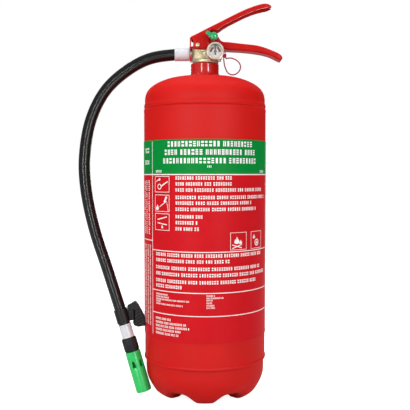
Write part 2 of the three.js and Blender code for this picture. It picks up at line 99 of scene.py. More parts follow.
def material(name, colour, rough, metal=0.0, *, blotch=30.0, vary=0.10, rough_vary=0.06, grain=700.0,
        bump=0.08, depth=4e-5, coat=0.0, coat_rough=0.08, stretch=(1, 1, 1), specular=0.5, alpha=1.0,
        second=None):
    """Colour and roughness that vary slowly, and a fine bump, each from a noise in object space."""
    made = bpy.data.materials.new(name)
    made.use_nodes = True
    tree = made.node_tree
    shader = tree.nodes["Principled BSDF"]
    place = tree.nodes.new("ShaderNodeTexCoord")
    scaled = node(tree, "ShaderNodeMapping", Scale=stretch)
    tree.links.new(place.outputs["Object"], scaled.inputs["Vector"])

    slow = node(tree, "ShaderNodeTexNoise", Scale=blotch, Detail=5.0, Roughness=0.6)
    ramp = tree.nodes.new("ShaderNodeValToRGB")
    for stop, position, share in zip(ramp.color_ramp.elements, (0.32, 0.68), (1 - vary, 1 + vary)):
        stop.position = position
        stop.color = [min(1, c * share) for c in linear(colour)] + [1]
    tree.links.new(slow.outputs["Fac"], ramp.inputs["Fac"])
    colour_out = ramp.outputs["Color"]
    if second:
        colour_out = second(tree, place, colour_out)
    tree.links.new(colour_out, shader.inputs["Base Color"])

    fine = node(tree, "ShaderNodeTexNoise", Scale=grain, Detail=3.0, Roughness=0.55)
    for noise in (slow, fine):
        tree.links.new(scaled.outputs["Vector"], noise.inputs["Vector"])
    spread = node(tree, "ShaderNodeMapRange", To_Min=max(0.02, rough - rough_vary),
        To_Max=min(1.0, rough + rough_vary))
    tree.links.new(slow.outputs["Fac"], spread.inputs["Value"])
    tree.links.new(spread.outputs["Result"], shader.inputs["Roughness"])

    relief = node(tree, "ShaderNodeBump", Strength=bump, Distance=depth)
    tree.links.new(fine.outputs["Fac"], relief.inputs["Height"])
    tree.links.new(relief.outputs["Normal"], shader.inputs["Normal"])

    for socket, value in (("Metallic", metal), ("Coat Weight", coat), ("Coat Roughness", coat_rough),
            ("Specular IOR Level", specular), ("Alpha", alpha)):
        shader.inputs[socket].default_value = value
    return made


BANDS_TOP = 0.5  # metres; the height that the ramp of bands spans


def height_bands(tree, place, bands):
    """A colour by height: bands lists (z in metres, colour), and each colour holds from its z up."""
    apart = tree.nodes.new("ShaderNodeSeparateXYZ")
    tree.links.new(place.outputs["Object"], apart.inputs["Vector"])
    spread = node(tree, "ShaderNodeMapRange", From_Max=BANDS_TOP)
    tree.links.new(apart.outputs["Z"], spread.inputs["Value"])
    ramp = tree.nodes.new("ShaderNodeValToRGB")
    ramp.color_ramp.interpolation = "CONSTANT"
    for i, (z, colour) in enumerate(bands):
        stop = ramp.color_ramp.elements[i] if i < 2 else ramp.color_ramp.elements.new(z / BANDS_TOP)
        stop.position = z / BANDS_TOP
        stop.color = linear(colour) + [1]
    tree.links.new(spread.outputs["Result"], ramp.inputs["Fac"])
    return ramp.outputs["Color"]


LABEL_RED = (212, 22, 32)
LABEL_GREEN = (0, 141, 57)
GREEN_FROM_Z = 0.2896


def label_colours(tree, place, speckle):
    """Red below, a green band above, and a faint speckle over both."""
    mix = tree.nodes.new("ShaderNodeMix")
    mix.data_type = "RGBA"
    mix.blend_type = "MULTIPLY"
    mix.inputs["Factor"].default_value = 1.0
    tree.links.new(height_bands(tree, place, [(0.0, LABEL_RED), (GREEN_FROM_Z, LABEL_GREEN)]),
        mix.inputs["A"])
    tree.links.new(speckle, mix.inputs["B"])
    return mix.outputs["Result"]


RED = material("red_paint", (206, 11, 4), 0.56, blotch=22, vary=0.05, grain=420, specular=0.22)
COLLAR_RED = material("collar_paint", (192, 10, 6), 0.24, blotch=60, vary=0.05, grain=420, bump=0.06,
    depth=3e-5, specular=0.25, coat=0.8, coat_rough=0.05)
LEVER_RED = material("lever_paint", (194, 13, 8), 0.34, blotch=60, vary=0.06, grain=420, bump=0.05,
    depth=3e-5, specular=0.16)
LABEL = material("label_film", (247, 247, 247), 0.46, blotch=90, vary=0.03, rough_vary=0.04, grain=1500,
    bump=0.05, depth=2e-5, specular=0.07, second=label_colours)
INK = material("label_ink", (246, 244, 242), 0.4, blotch=400, vary=0.04, grain=3000, bump=0.04, depth=1e-5)
CAST = material("nickel_plated_casting", (206, 194, 158), 0.34, 0.8, blotch=420, vary=0.28, rough_vary=0.16,
    grain=620, bump=0.8, depth=0.0006)
BRASS = material("turned_brass", (214, 178, 104), 0.28, 1.0, blotch=200, grain=2200, bump=0.12,
    stretch=(1, 1, 4))
STEEL = material("plated_steel", (214, 214, 212), 0.2, 1.0, blotch=260, vary=0.07, rough_vary=0.08,
    grain=2600, bump=0.10, depth=3e-5)
# Painted reflection: the crimp sleeves are bare steel, but this near-white colour with almost no metal stands
# in for the bright studio mirrored in them.
FERRULE_PAINTED_REFLECTION = material("ferrule_painted_reflection", (218, 221, 226), 0.3, 0.06, blotch=180, vary=0.05, rough_vary=0.05,
    grain=1800, bump=0.08, depth=3e-5)
BEZEL = material("gauge_bezel_plating", (232, 218, 202), 0.3, 0.7, blotch=300, vary=0.08, rough_vary=0.08,
    grain=1500, bump=0.15, depth=4e-5)
CASE = material("gauge_case_steel", (168, 158, 142), 0.34, 0.6, blotch=300, vary=0.12, rough_vary=0.1,
    grain=1500, bump=0.2, depth=5e-5)
HOSE = material("hose_rubber", (11, 11, 12), 0.22, blotch=140, vary=0.22, grain=2400, bump=0.3, depth=6e-5,
    specular=0.42)
RUBBER = material("smooth_rubber", (20, 20, 20), 0.55, blotch=200, vary=0.15, grain=1800, bump=0.2)
BLACK = material("black_plastic", (13, 13, 14), 0.42, blotch=120, vary=0.14, rough_vary=0.1, grain=3200,
    bump=0.35, depth=6e-5, specular=0.34)
GREEN = material("green_plastic", (34, 204, 98), 0.3, blotch=90, vary=0.08, grain=1700, bump=0.12, coat=0.2)
PIN_GREEN = material("pin_green_plastic", (32, 160, 96), 0.22, blotch=160, vary=0.08, grain=1900, bump=0.06,
    coat=0.7)
SEAL = material("seal_plastic", (158, 16, 42), 0.32, blotch=300, vary=0.12, grain=2500, bump=0.15)
DIAL = material("dial_enamel", (252, 250, 244), 0.35, blotch=500, vary=0.03, grain=4000, bump=0.05)
DIAL_RED = material("dial_red", (128, 16, 40), 0.35, blotch=600, vary=0.08, grain=4000, bump=0.05)
DIAL_GREEN = material("dial_green", (44, 176, 108), 0.35, blotch=600, vary=0.08, grain=4000, bump=0.05)
NEEDLE = material("needle_paint", (10, 74, 44), 0.35, blotch=600, vary=0.08, grain=4000, bump=0.05)
LENS = material("lens", (244, 248, 248), 0.04, blotch=200, vary=0.01, rough_vary=0.02, grain=500, bump=0.02,
    alpha=0.05, coat=0.3, coat_rough=0.03)
TUBE = material("tube_plastic", (226, 224, 214), 0.4, blotch=120, vary=0.05, grain=1500, bump=0.1)


# ---- meshes
def spin_matrix(degrees, axis):
    return Matrix.Rotation(math.radians(degrees), 4, axis)


def shift(x, y, z):
    return Matrix.Translation((x, y, z))


UPRIGHT = Matrix.Identity(4)
OUTLET_Z = 447.0
HOSE_LEAN = 3.2
END_ANGLE = 16.5
END_TOP = (-111, 113)
PIVOT = (-9.5, 457.7)
PIN = (11.5, 466.8)
GAUGE = (13.4, 447.3)
OUTLET = shift(0, 0, OUTLET_Z) @ spin_matrix(-90, "Y")
LEAN = shift(0, 0, OUTLET_Z) @ spin_matrix(-HOSE_LEAN, "X") @ shift(0, 0, -OUTLET_Z)
HOSE_END = LEAN @ shift(END_TOP[0], 0, END_TOP[1]) @ spin_matrix(-END_ANGLE, "Y") @ spin_matrix(180, "X")


def to_front(at):
    return shift(at[0], 0, at[1]) @ spin_matrix(90, "X")


def across(at):
    return shift(at[0], 0, at[1]) @ spin_matrix(-90, "X")


def shade(obj, sharp=32):
    """Welds, turns all faces outwards, and marks only the edges sharper than the given angle."""
    bm = bmesh.new()
    bm.from_mesh(obj.data)
    bmesh.ops.remove_doubles(bm, verts=bm.verts, dist=2e-7)
    bmesh.ops.dissolve_degenerate(bm, edges=bm.edges, dist=1e-8)
    bmesh.ops.recalc_face_normals(bm, faces=bm.faces)
    for face in bm.faces:
        face.smooth = True
    for edge in bm.edges:
        edge.smooth = len(edge.link_faces) == 2 and edge.calc_face_angle(0.0) < math.radians(sharp)
    bm.to_mesh(obj.data)
    bm.free()


def new_object(name, verts, faces, matrix=UPRIGHT):
    mesh = bpy.data.meshes.new(name)
    mesh.from_pydata([tuple((matrix @ Vector(v)) * MM) for v in verts], [], faces)
    obj = bpy.data.objects.new(name, mesh)
    scene.collection.objects.link(obj)
    return obj


def applied(obj):
    """Puts the result of the object's modifiers into its mesh."""
    bpy.context.view_layer.update()
    made = bpy.data.meshes.new_from_object(obj.evaluated_get(bpy.context.evaluated_depsgraph_get()))
    obj.modifiers.clear()
    obj.data = made
    return obj


def bevelled(obj, width, segments=2, angle=30):
    bevel = obj.modifiers.new("bevel", "BEVEL")
    bevel.width = width * MM
    bevel.segments = segments
    bevel.limit_method = "ANGLE"
    bevel.angle_limit = math.radians(angle)
    bevel.use_clamp_overlap = True
    return applied(obj)


def cut(obj, tool, operation="DIFFERENCE"):
    boolean = obj.modifiers.new("cut", "BOOLEAN")
    boolean.operation = operation
    boolean.object = tool
    boolean.solver = "EXACT"
    applied(obj)
    bpy.data.objects.remove(tool)
    return obj


def softened(obj, voxel, rounds=6):
    """A moulded or cast skin: one even mesh over the whole solid, with its edges rounded."""
    remesh = obj.modifiers.new("skin", "REMESH")
    remesh.mode = "VOXEL"
    remesh.voxel_size = voxel * MM
    smooth = obj.modifiers.new("smooth", "SMOOTH")
    smooth.factor = 0.5
    smooth.iterations = rounds
    return applied(obj)


def cad_copy(name, cad_node):
    """A new object with a CAD node's solid, welded, its flat faces whole again."""
    obj = bpy.data.objects.new(name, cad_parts[cad_node].data.copy())
    obj.data.materials.clear()
    obj.data.name = name
    scene.collection.objects.link(obj)
    bm = bmesh.new()
    bm.from_mesh(obj.data)
    bmesh.ops.remove_doubles(bm, verts=bm.verts, dist=1e-6)
    bmesh.ops.dissolve_limit(bm, angle_limit=math.radians(0.4), verts=bm.verts, edges=bm.edges)
    bm.to_mesh(obj.data)
    bm.free()
    return obj


def dress(obj, look, body, slot, *stands_for, sharp=32):
    shade(obj, sharp)
    obj.data.materials.clear()
    obj.data.materials.append(look)
    if body:
        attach(obj, body)
    if stands_for:
        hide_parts(*stands_for)
    return obj


def joined(name, *objects):
    """One object from several closed shells."""
    bm = bmesh.new()
    for obj in objects:
        bm.from_mesh(obj.data)
        bpy.data.objects.remove(obj)
    mesh = bpy.data.meshes.new(name)
    bm.to_mesh(mesh)
    bm.free()
    obj = bpy.data.objects.new(name, mesh)
    scene.collection.objects.link(obj)
    return obj


def curve_through(points, steps):
    """Points of a centripetal Catmull-Rom curve: steps to each stretch between the given points."""
    pts = [Vector(p) for p in points]
    pts = [2 * pts[0] - pts[1], *pts, 2 * pts[-1] - pts[-2]]
    out = []
    for i in range(1, len(pts) - 2):
        p0, p1, p2, p3 = pts[i - 1 : i + 3]
        d0, d1, d2 = (max(1e-4, (b - a).length ** 0.5) for a, b in ((p0, p1), (p1, p2), (p2, p3)))
        m1 = ((p1 - p0) / d0 - (p2 - p0) / (d0 + d1) + (p2 - p1) / d1) * d1
        m2 = ((p2 - p1) / d1 - (p3 - p1) / (d1 + d2) + (p3 - p2) / d2) * d1
        for k in range(steps):
            t = k / steps
            out.append(
                p1 * (2 * t**3 - 3 * t**2 + 1) + m1 * (t**3 - 2 * t**2 + t)
                + p2 * (3 * t**2 - 2 * t**3) + m2 * (t**3 - t**2)
            )
    out.append(pts[-2].copy())
    return out


def evenly(points, spacing):
    """The same line with its points spacing apart."""
    lengths = [0.0]
    for a, b in zip(points, points[1:]):
        lengths.append(lengths[-1] + (b - a).length)
    count = max(2, round(lengths[-1] / spacing))
    out, i = [], 0
    for k in range(count + 1):
        want = lengths[-1] * k / count
        while i < len(points) - 2 and lengths[i + 1] < want:
            i += 1
        share = (want - lengths[i]) / max(1e-9, lengths[i + 1] - lengths[i])
        out.append(points[i].lerp(points[i + 1], min(1.0, share)))
    return out


def rounded(profile, radius=0.3, steps=3, least=20):
    """A closed outline with each corner turned into a small arc."""
    out = []
    for i, at in enumerate(profile):
        p, a, b = Vector(at), Vector(profile[i - 1]), Vector(profile[(i + 1) % len(profile)])
        u, v = a - p, b - p
        if p.x < 1e-6 or u.length < 1e-6 or v.length < 1e-6 or math.pi - u.angle(v) < math.radians(least):
            out.append(p)
            continue
        cut_back = min(radius, 0.45 * u.length, 0.45 * v.length)
        s, e = p + u.normalized() * cut_back, p + v.normalized() * cut_back
        if u.length > 5 * cut_back:  # keeps the flat beside the arc flat when it is shaded smooth
            out.append(s + u.normalized() * cut_back * 0.7)
        for k in range(steps + 1):
            t = k / steps
            out.append(s * (1 - t) ** 2 + p * 2 * t * (1 - t) + e * t**2)
        if v.length > 5 * cut_back:
            out.append(e + v.normalized() * cut_back * 0.7)
    return out


def between_rings(rings, around):
    """Faces from each ring of vertices to the next, and from the last to the first."""
    faces = []
    for i in range(len(rings)):
        lower, upper = rings[i], rings[(i + 1) % len(rings)]
        for j in range(around):
            k = (j + 1) % around
            face = list(dict.fromkeys([lower[j], lower[k], upper[k], upper[j]]))
            if len(face) > 2:
                faces.append(face)
    return faces


def lathe(profile, around=96, ripple=None):
    """A closed [radius, height] outline turned round Z. ripple gives a point's own radius."""
    verts, rings = [], []
    for r, z in profile:
        if r < 1e-6:
            rings.append([len(verts)] * around)
            verts.append((0, 0, z))
            continue
        rings.append(list(range(len(verts), len(verts) + around)))
        for j in range(around):
            a = 2 * math.pi * j / around
            here = ripple(r, z, a) if ripple else r
            verts.append((here * math.cos(a), here * math.sin(a), z))
    return verts, between_rings(rings, around)


def turned(name, profile, matrix, look, body, slot, *stands_for, corner=0.3, around=96, ripple=None,
        sharp=32):
    verts, faces = lathe(rounded(profile, corner) if corner else profile, around, ripple)
    return dress(new_object(name, verts, faces, matrix), look, body, slot, *stands_for, sharp=sharp)


def swept(points, radius, sides=16, bore=0.0):
    """A rod, or a pipe with a bore, along points. radius may be a function of the length so far."""
    verts, faces = [], []
    last = len(points) - 1
    tangents = [(points[min(i + 1, last)] - points[max(i - 1, 0)]).normalized() for i in range(len(points))]
    normal = tangents[0].orthogonal().normalized()
    run, radii, frames = 0.0, [], []
    for i, tangent in enumerate(tangents):
        if i:
            run += (points[i] - points[i - 1]).length
        normal = (normal - tangent * normal.dot(tangent)).normalized()
        frames.append((normal.copy(), tangent.cross(normal)))
        radii.append(radius(run) if callable(radius) else radius)
    shells = [radii] + ([[bore] * len(points)] if bore else [])
    for shell in shells:
        for p, (n, b), r in zip(points, frames, shell):
            for j in range(sides):
                a = 2 * math.pi * j / sides
                verts.append(p + (n * math.cos(a) + b * math.sin(a)) * r)
    count = len(points)
    for s in range(len(shells)):
        for i in range(count - 1):
            for j in range(sides):
                k = (j + 1) % sides
                o = s * count * sides + i * sides
                faces.append((o + j, o + k, o + sides + k, o + sides + j))
    for i in (0, count - 1):
        o = i * sides
        if bore:
            q = count * sides + i * sides
            faces += [(o + j, o + (j + 1) % sides, q + (j + 1) % sides, q + j) for j in range(sides)]
        else:
            faces.append(tuple(range(o, o + sides)))
    return verts, faces


def rod(name, points, radius, sides, *dressing, bore=0.0):
    return dress(new_object(name, *swept(points, radius, sides, bore)), *dressing, sharp=60)


def plate(outline, y0, y1):
    """An outline of [x, z] drawn out along Y."""
    n = len(outline)
    verts = [(x, y, z) for y in (y0, y1) for x, z in outline]
    faces = [tuple(range(n)), tuple(range(n, 2 * n))]
    faces += [(i, (i + 1) % n, n + (i + 1) % n, n + i) for i in range(n)]
    return verts, faces


def block(x0, x1, y0, y1, z0, z1):
    return plate([(x0, z0), (x1, z0), (x1, z1), (x0, z1)], y0, y1)


def cylinder(radius, low, high, around):
    return lathe([(0, low), (radius, low), (radius, high), (0, high)], around)


def drill(at, radius, y0, y1):
    return new_object("drill", *cylinder(radius, y0, y1, 40), across(at))


def carve(obj, solid, matrix=UPRIGHT, operation="DIFFERENCE"):
    """Cuts a solid, given as its vertices and faces, out of the object, or joins it on."""
    tool = new_object("tool", *solid, matrix)
    shade(tool)
    return cut(obj, tool, operation)


def voxel(full, quick):
    """The step of a moulded skin; quick is not used."""
    return full


# ---- the hose
HOSE_R = 7.6
HOSE_BORE = 4.2


def down_end(d):
    a = math.radians(END_ANGLE)
    return (END_TOP[0] + d * math.sin(a), 0, END_TOP[1] - d * math.cos(a))


HOSE_ROUTE = [
    (-21.2, 0, 447), (-40, 0, 447), (-73, 0, 441.6), (-101, 0, 427), (-130, 0, 400.5), (-149.5, 0, 362),
    (-158, 0, 312), (-156, 0, 270), (-145, 0, 218), (-128, 0, 166), down_end(0), down_end(18), down_end(36),
]
hose_line = [LEAN @ p for p in curve_through(HOSE_ROUTE, 40)]
RIB_PITCH = 1.9
RIB_DEPTH = 0.16


def hose_radius(run):
    return HOSE_R - RIB_DEPTH * (0.5 - 0.5 * math.cos(2 * math.pi * run / RIB_PITCH)) ** 1.5


hose_path = evenly(hose_line, 18)
hose = rod("hose_rubber_tube", evenly(hose_line, RIB_PITCH / 4), hose_radius, 28, HOSE, "hose_line",
    "hose_rubber", "hose", bore=HOSE_BORE)


# ---- pressure vessel
AROUND_BODY = 256


def densified(profile, longest):
    out = []
    for i, p in enumerate(profile):
        q = profile[(i + 1) % len(profile)]
        n = max(1, math.ceil((q - p).length / longest))
        out += [p.lerp(q, k / n) for k in range(n)]
    return out


def big_turned(name, profile, longest, *dressing, ripple=None):
    return dress(new_object(name, *lathe(densified(profile, longest), AROUND_BODY, ripple)), *dressing)


shell_rim = [Vector(p[:2]) for p in curve_through([
    (80.0, 365, 0), (80.0, 369.0, 0), (80.2, 371.2, 0), (80.25, 372.6, 0), (79.9, 374.2, 0), (79.3, 374.9, 0),
], 4)]
big_turned("vessel_shell", rounded([
    (78.5, 48.2), (79.6, 48.2), (80.6, 49.1), (80.6, 50.7), (80, 52.6),
], 0.6) + shell_rim + [Vector((78.5, 374.9))], 12, RED, "vessel", "red_paint", "cylinder_shell")

dome_outside = curve_through([(r, z, 0) for r, z in [(79, 375.2), (79.4, 375.9), (79.85, 377.4),
    (79.9, 378.8), (79.5, 380.4), (78.95, 382), (78.75, 387.9), (77.3, 394.4), (73.4, 400.8),
    (64.2, 407.6), (50.2, 413.3), (35, 416.1), (19.2, 417)]], 8)
dome_profile = [Vector((76.2, 362)), Vector((78.2, 362)), Vector((78.2, 374.6))]
dome_profile += [Vector(p[:2]) for p in dome_outside]
dome_profile += [Vector(p) for p in ((18.9, 416.8), (18.9, 415), (48, 411.2), (62, 405.2), (70.2, 399),
    (74.6, 392), (76.2, 386))]
big_turned("vessel_dome", dome_profile, 6, RED, "vessel", "red_paint", "top_dome")


def weld_ripple(r, z, a):
    """The fillet weld at the collar's foot has the small waves of its run."""
    if z > 420.6 or r < 18.7:
        return r
    return r + 0.16 * math.sin(64 * a) + 0.1 * math.sin(23 * a + 1.3)


turned("threaded_neck", [(15.2, 410), (18.5, 410), (18.5, 417.3), (21.4, 417.3), (21, 418),
    (19.8, 418.9), (18.9, 420.2), (18.5, 421.8), (18.5, 422.4), (18.5, 433.6), (18, 434.4),
    (17.9, 434.4), (15.2, 431.7)], UPRIGHT, COLLAR_RED, "vessel", "red_paint", "neck_collar", corner=0.4,
    around=192, ripple=weld_ripple)

DISH_ROWS = [  # (radius, height) through the middle of a foot, then through a valley
    ((78.2, 57), (78.2, 57)), ((78.2, 40), (78.2, 40)), ((78, 33), (78, 33)), ((77, 26.5), (77.2, 27)),
    ((74.6, 19.4), (75, 20.8)), ((71.2, 13), (72.2, 16.8)), ((66.5, 6.6), (68.5, 14.2)),
    ((60, 2.2), (64, 13.6)), ((53, 0), (56, 15.6)), ((44, 0), (47, 18.5)), ((36, 4), (37, 21)),
    ((27, 13), (27, 22.6)), ((15, 21), (15, 23.7)), ((0, 24), (0, 24)),
]
DISH_T = 1.8
FOOT_FLAT, VALLEY_FROM, FOOT_PITCH = 8.5, 24.0, 60.0


def dish_lines():
    lines = []
    for side in (0, 1):
        outer = curve_through([(r[side][0], max(0.0, r[side][1]), 0) for r in DISH_ROWS], 6)
        outer = [Vector((max(0.0, p.x), max(0.0, p.y))) for p in outer]
        inner = []
        for i, p in enumerate(outer):
            a, b = outer[max(0, i - 1)], outer[min(len(outer) - 1, i + 1)]
            d = (b - a).normalized()
            inner.append(Vector((max(0.0, p.x + d.y * DISH_T), p.y - d.x * DISH_T)))
        inner[-1].x = 0.0
        lines.append((outer, inner))
    return lines


def base_dish():
    (foot, foot_in), (valley, valley_in) = dish_lines()
    rows = list(zip(foot, valley)) + list(zip(reversed(foot_in), reversed(valley_in)))
    around, verts, rings = 288, [], []
    for a, b in rows:
        if a.x < 1e-4:
            rings.append([len(verts)] * around)
            verts.append((0, 0, a.y))
            continue
        rings.append(list(range(len(verts), len(verts) + around)))
        for j in range(around):
            degrees = 360 * j / around
            off = abs(degrees - round(degrees / FOOT_PITCH) * FOOT_PITCH)
            t = min(1.0, max(0.0, (off - FOOT_FLAT) / (VALLEY_FROM - FOOT_FLAT)))
            p = a.lerp(b, t * t * (3 - 2 * t))
            turn = math.radians(degrees)
            verts.append((-p.x * math.sin(turn), -p.x * math.cos(turn), p.y))
    return verts, between_rings(rings, around)


dress(new_object("pressed_base", *base_dish()), RED, "vessel", "red_paint", "base_dish")

# ---- label
LABEL_R = 80.45
LABEL_Z = (82.5, 332.5)
SEAM_HALF = 4.0  # half the gap at the back, along the arc


def on_vessel(s, r, z):
    """A point at arc length s from the front, towards +X."""
    a = s / LABEL_R
    return (r * math.sin(a), -r * math.cos(a), z)


def wrapped_patch(s0, s1, z0, z1, r0, r1, step=2.6, rows=1):
    n = max(1, math.ceil((s1 - s0) / step))
    verts, index = [], {}
    for layer, r in enumerate((r0, r1)):
        for i in range(n + 1):
            for j in range(rows + 1):
                index[layer, i, j] = len(verts)
                verts.append(on_vessel(s0 + (s1 - s0) * i / n, r, z0 + (z1 - z0) * j / rows))
    faces, corners = [], ((0, 0), (1, 0), (1, 1), (0, 1))
    for i in range(n):
        for j in range(rows):
            for layer in (0, 1):
                faces.append(tuple(index[layer, i + di, j + dj] for di, dj in corners))
    for i in range(n):
        for j in (0, rows):
            faces.append((index[0, i, j], index[0, i + 1, j], index[1, i + 1, j], index[1, i, j]))
    for j in range(rows):
        for i in (0, n):
            faces.append((index[0, i, j], index[0, i, j + 1], index[1, i, j + 1], index[1, i, j]))
    return verts, faces


half_round = math.pi * LABEL_R - SEAM_HALF
wrap = wrapped_patch(-half_round, half_round, *LABEL_Z, 80.15, LABEL_R, 2.0, 25)
dress(new_object("label_film_wrap", *wrap), LABEL, "vessel", "label", "label_wrap")

INK_LOW, INK_HIGH = LABEL_R - 0.05, LABEL_R + 0.11

# The blocks that one letter-sized mark is made of, as shares of its width and height.
LETTER_BLOCKS = [
    [(0, 1, 0, 0.4), (0, 1, 0.62, 1)], [(0, 0.4, 0, 1), (0.62, 1, 0, 1)],
    [(0, 1, 0, 0.26), (0, 1, 0.38, 0.64), (0, 1, 0.76, 1)], [(0.1, 0.9, 0, 1)],
]


class Marks:
    """Collects printed marks, each a thin closed patch on the label."""

    def __init__(self, name, look):
        self.name, self.look, self.verts, self.faces = name, look, [], []

    def take(self, verts, faces):
        o = len(self.verts)
        self.verts += verts
        self.faces += [tuple(o + i for i in f) for f in faces]

    def bar(self, s0, s1, z0, z1):
        self.take(*wrapped_patch(s0, s1, z0, z1, INK_LOW, INK_HIGH))

    def shape(self, outline):
        """A small closed shape of [s, z] points, at most about 7 mm across."""
        verts = [on_vessel(s, r, z) for r in (INK_LOW, INK_HIGH) for s, z in outline]
        self.take(verts, plate(outline, 0, 0)[1])

    def line(self, a, b, width):
        """A straight stroke from a to b."""
        a, b = Vector(a), Vector(b)
        n = max(1, math.ceil((b - a).length / 3))
        side = Vector((-(b - a).y, (b - a).x)).normalized() * width / 2
        for k in range(n):
            p, q = a.lerp(b, k / n), a.lerp(b, (k + 1) / n)
            self.shape([p - side, q - side, q + side, p + side])

    def frame(self, s0, s1, z0, z1, width):
        self.bar(s0, s1, z0, z0 + width)
        self.bar(s0, s1, z1 - width, z1)
        self.bar(s0, s0 + width, z0 + width, z1 - width)
        self.bar(s1 - width, s1, z0 + width, z1 - width)

    def words(self, s0, s1, z, height, seed, upright=False, longest=9):
        """A row of plain blocks in word-long groups, which stands for a line of print. It spells nothing."""
        rng = random.Random(seed)
        pitch, gap = height * 0.74, height * 0.2
        at = s0
        while at < s1 - pitch * 0.6:
            for _ in range(rng.randint(max(2, longest // 3), longest)):
                if at + pitch - gap > s1:
                    break
                parts = LETTER_BLOCKS[rng.randrange(4)]
                wide = (pitch - gap) * rng.uniform(0.82, 1)
                for u0, u1, v0, v1 in parts:
                    lo, hi = (v0 - 0.5) * height, (v1 - 0.5) * height
                    if upright:
                        self.bar(z + lo, z + hi, at + u0 * wide, at + u1 * wide)
                    else:
                        self.bar(at + u0 * wide, at + u1 * wide, z + lo, z + hi)
                at += pitch
            at += pitch * 0.55

    def finish(self):
        return dress(new_object(self.name, self.verts, self.faces), self.look, "vessel", "label", sharp=30)


TITLE_ROWS = [  # (from, to, height on the vessel, letter height, longest word)
    (-48.5, 66.5, 326.8, 6.6, 30), (-53.0, 73.5, 316.8, 6.6, 12), (-55.5, 76.5, 306.4, 6.6, 30),
    (3.0, 8.5, 299.2, 2.6, 9), (-69.3, -57.0, 293.6, 3.0, 9), (84.0, 95.0, 293.6, 3.0, 9),
    (-99.0, -84.0, 320.0, 6.5, 9), (-101.0, -85.0, 305.0, 5.5, 9),
]
title = Marks("label_title_blocks", INK)
for row, (s0, s1, z, height, longest) in enumerate(TITLE_ROWS):
    title.words(s0, s1, z, height, 1 + row, longest=longest)
title.finish()

rules = Marks("label_rules", INK)
half = half_round - 6
rules.bar(-half, half, 289.0, 290.2)  # under the green band
for z in (195.1, 144.9, 116.4):
    rules.bar(-76.8, 108.0, z - 0.5, z + 0.5)
rules.bar(-108.0, -76.8, 206.0, 207.0)
for s in (-77.2, 108.0, -140.0):
    rules.bar(s - 0.4, s + 0.4, 88.0, 289.0)
    rules.bar(s - 0.4, s + 0.4, 290.3, 331.0)
rules.finish()

STEP_LINES = [
    (38.5, 285.4), (36.8, 278.2), (88, 270.8), (98, 261.8), (64.6, 254.9), (74.2, 247.3),
    (-2, 238.2), (-7.4, 230.9), (-5.4, 223.3),
]
steps = Marks("label_step_blocks", INK)
for row, (s1, z) in enumerate(STEP_LINES):
    steps.words(-37.1, s1, z, 4.1, 20 + row)
steps.finish()

notes = Marks("label_note_blocks", INK)
for row, (s1, z) in enumerate([(86.3, 190.6), (33.4, 183.4), (85, 174.4), (98, 166.7), (74.2, 158),
        (-26, 151.2)]):
    notes.words(-69.3, s1, z, 4.1, 40 + row)
for row, (s0, s1, z) in enumerate([(-69.3, -47.4, 140.4), (-69.3, -46.1, 137.3), (-69.3, -19.2, 134.2),
        (-69.3, -61.2, 131.4), (-69.3, -27.1, 128.3), (2.1, 12.7, 141.8), (2.1, 23.6, 138.9),
        (2.1, 10.6, 136.2), (2.1, 9.1, 132.9), (2.1, 12.7, 129.8), (2.1, 12.7, 127.0)]):
    notes.words(s0, s1, z, 1.9, 60 + row)
for row, (s1, z) in enumerate([(-43.7, 109.7), (-21.8, 104.9), (-17.6, 100.4), (-28.7, 95.9), (-32.6, 91.2)]):
    notes.words(-70.2, s1, z, 2.7, 80 + row)
notes.finish()

side_notes = Marks("label_side_blocks", INK)
for count, low, high, first, pitch, height, seed in ((3, 214.0, 284.0, -103.0, 8.4, 3.2, 100),
        (4, 98.0, 202.0, -103.4, 6.6, 2.4, 120), (5, 98.0, 284.0, -168.0, 5.6, 2.4, 140),):
    for column in range(count):
        side_notes.words(low, high, first + pitch * column, height, seed + column, upright=True)
for row in range(18):
    side_notes.words(114.0, 168.0 + 36.0 * (row % 3), 281.0 - 9.8 * row, 2.6, 160 + row)
for row in range(14):
    side_notes.words(-232.0, -186.0 + 9.0 * (row % 2), 279.0 - 12.4 * row, 2.8, 200 + row)
side_notes.finish()

# Three plain step signs and two plain fire signs, of the kind any extinguisher has.
signs = Marks("label_signs", INK)
SIGN_S = (-71, -46.1)
SIGN_ROWS = [(267.6, 287.6), (243.6, 264.6), (220.4, 241.4)]
for z0, z1 in SIGN_ROWS:
    signs.frame(*SIGN_S, z0, z1, 0.6)


def flame(marks, s, z, size):
    outline = [(0, 1), (0.16, 0.72), (0.36, 0.5), (0.42, 0.25), (0.3, 0.06), (0, 0), (-0.3, 0.06),
        (-0.42, 0.25), (-0.3, 0.5), (-0.22, 0.66), (-0.12, 0.56), (-0.06, 0.78)]
    marks.shape([(s + u * size, z + v * size) for u, v in outline])


def round_sign(marks, s, z, radius, width):
    for k in range(20):
        a0, a1 = 2 * math.pi * k / 20, 2 * math.pi * (k + 1) / 20
        corners = ((radius, a0), (radius, a1), (radius - width, a1), (radius - width, a0))
        marks.shape([(s + r * math.cos(a), z + r * math.sin(a)) for r, a in corners])


